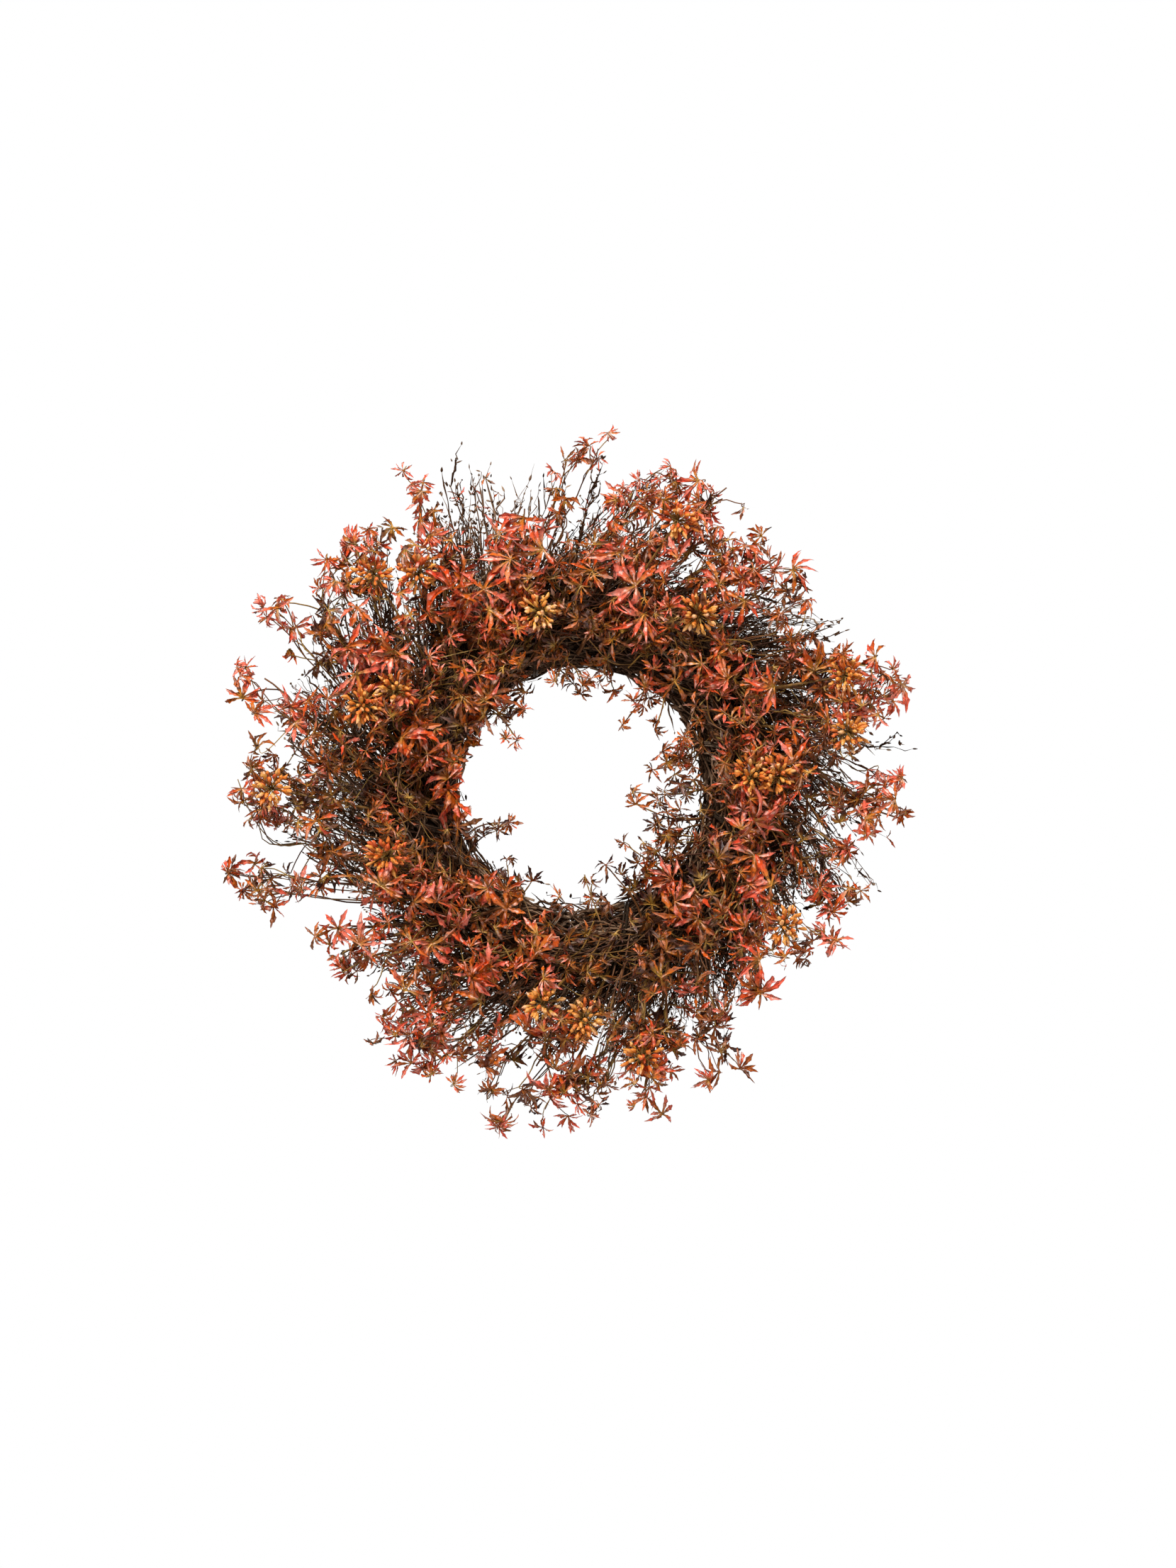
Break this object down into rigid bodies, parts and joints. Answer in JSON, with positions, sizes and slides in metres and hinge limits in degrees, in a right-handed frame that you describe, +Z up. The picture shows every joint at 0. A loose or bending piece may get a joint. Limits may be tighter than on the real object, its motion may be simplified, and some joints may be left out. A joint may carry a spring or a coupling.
{
  "type": "door wreath",
  "caption": "Round harvest door wreath: bundled twigs bound round a wire frame, with maple-leaf sprays, berry picks and a folding wire hanging loop.",
  "frame": {"origin": "the point under the top of the wire hanging loop where it bears on its hook or nail, in the plane of the wire frame", "axes": "+Z up, +X to the right as seen from the front, +Y back towards the door, so the decorated front faces -Y"},
  "size_m": [0.5972, 0.121, 0.6179],
  "materials": {
    "rail_wire": "satin",
    "binding_wire": "satin",
    "twig": "matte",
    "leaf_coral": "matte",
    "leaf_rust": "matte",
    "leaf_wine": "matte",
    "berry": "satin"
  },
  "bodies": {
    "wreath": {"outer_rail": "rail_wire", "inner_rail": "rail_wire", "cross_tie_01": "rail_wire", "cross_tie_02": "rail_wire", "cross_tie_03": "rail_wire", "cross_tie_04": "rail_wire", "twig_bundle_01": "twig", "twig_bundle_02": "twig", "twig_bundle_03": "twig", "twig_bundle_04": "twig", "twig_bundle_05": "twig", "twig_bundle_06": "twig", "twig_bundle_07": "twig", "twig_bundle_08": "twig", "twig_bundle_09": "twig", "twig_bundle_10": "twig", "twig_bundle_11": "twig", "twig_bundle_12": "twig", "binding_wire_01": "binding_wire", "binding_wire_02": "binding_wire", "binding_wire_03": "binding_wire", "binding_wire_04": "binding_wire", "binding_wire_05": "binding_wire", "binding_wire_06": "binding_wire", "binding_wire_07": "binding_wire", "binding_wire_08": "binding_wire", "binding_wire_09": "binding_wire", "binding_wire_10": "binding_wire", "binding_wire_11": "binding_wire", "binding_wire_12": "binding_wire", "maple_spray_01": "leaf_coral", "maple_spray_02": "leaf_rust", "maple_spray_03": "leaf_wine", "maple_spray_04": "leaf_coral", "maple_spray_05": "leaf_rust", "maple_spray_06": "leaf_wine", "maple_spray_07": "leaf_coral", "maple_spray_08": "leaf_rust", "maple_spray_09": "leaf_wine", "maple_spray_10": "leaf_coral", "maple_spray_11": "leaf_rust", "maple_spray_12": "leaf_wine", "maple_spray_13": "leaf_coral", "maple_spray_14": "leaf_rust", "maple_spray_15": "leaf_wine", "maple_spray_16": "leaf_coral", "berry_pick_01": "berry", "berry_pick_02": "berry", "berry_pick_03": "berry", "berry_pick_04": "berry", "berry_pick_05": "berry", "berry_pick_06": "berry", "berry_pick_07": "berry", "berry_pick_08": "berry", "berry_pick_09": "berry", "berry_pick_10": "berry", "berry_pick_11": "berry", "berry_pick_12": "berry"},
    "hanger": {"hanging_loop": "rail_wire"}
  },
  "joints": [
    {"name": "hanger_swing", "type": "hinge", "parent": "wreath", "child": "hanger", "pos_m": [0, 0, -0.032], "axis": [-1, 0, 0], "range_deg": [0, 165]}
  ]
}
